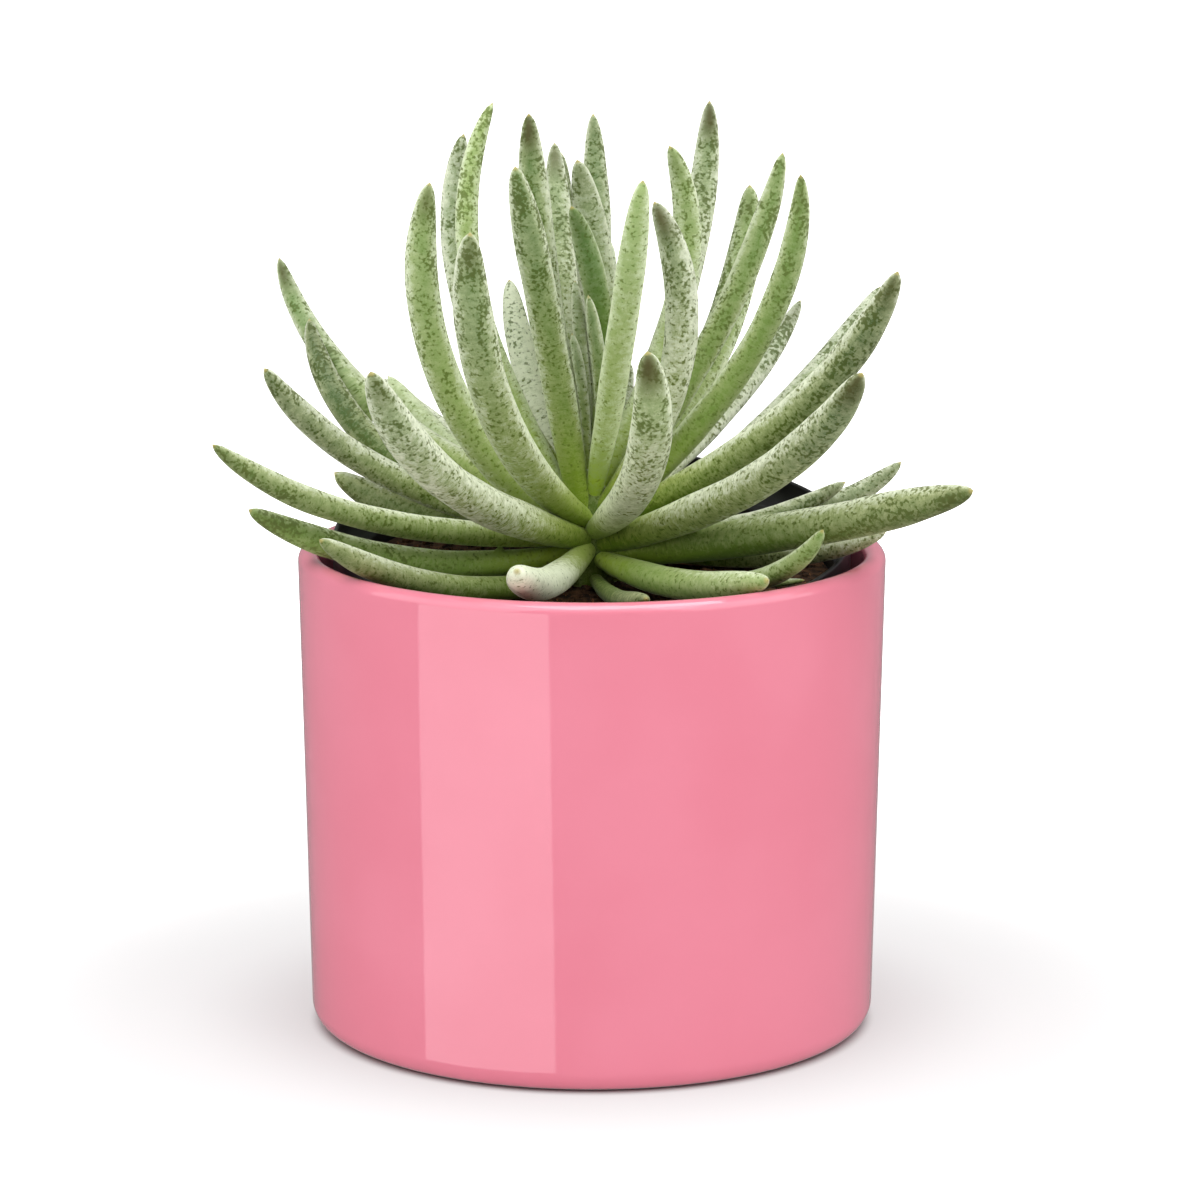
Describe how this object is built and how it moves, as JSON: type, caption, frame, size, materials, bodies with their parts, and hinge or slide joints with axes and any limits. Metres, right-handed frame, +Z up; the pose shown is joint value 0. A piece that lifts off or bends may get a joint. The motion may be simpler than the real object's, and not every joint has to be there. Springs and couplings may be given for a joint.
{
  "type": "potted succulent plant",
  "caption": "Finger-leaved felted succulent in a thin black growing pot of peat, standing in a glossy pink glazed ceramic cover pot.",
  "frame": {"origin": "centre of the ceramic pot's foot, on the surface that it stands on", "axes": "+Z up, -Y the front that faces the camera, +X to the right as the camera sees it"},
  "size_m": [0.1491, 0.1285, 0.1889],
  "materials": {
    "glaze": "gloss",
    "plastic": "satin",
    "peat": "matte",
    "felt": "matte",
    "young_felt": "matte",
    "dry_leaf": "matte"
  },
  "bodies": {
    "root": {"pot": "glaze", "nursery_pot": "plastic", "soil": "peat", "crown": "young_felt", "leaf_01": "felt", "leaf_02": "felt", "leaf_03": "felt", "leaf_04": "felt", "leaf_05": "felt", "leaf_06": "felt", "leaf_07": "felt", "leaf_08": "felt", "leaf_09": "felt", "leaf_10": "felt", "leaf_11": "felt", "leaf_12": "felt", "leaf_13": "felt", "leaf_14": "felt", "leaf_15": "felt", "leaf_16": "felt", "leaf_17": "felt", "leaf_18": "felt", "leaf_19": "felt", "leaf_20": "felt", "leaf_21": "felt", "leaf_22": "felt", "leaf_23": "felt", "leaf_24": "felt", "leaf_25": "felt", "leaf_26": "felt", "leaf_27": "felt", "leaf_28": "felt", "leaf_29": "felt", "leaf_30": "felt", "leaf_31": "felt", "leaf_32": "felt", "leaf_33": "felt", "leaf_34": "felt", "leaf_35": "felt", "leaf_36": "felt", "leaf_37": "felt", "leaf_38": "felt", "leaf_39": "felt", "leaf_40": "felt", "leaf_41": "felt", "leaf_42": "felt", "leaf_43": "felt", "leaf_44": "felt", "leaf_45": "felt", "leaf_46": "felt", "leaf_47": "felt", "leaf_48": "felt", "leaf_49": "felt", "dry_leaf_1": "dry_leaf", "dry_leaf_2": "dry_leaf"}
  },
  "joints": []
}
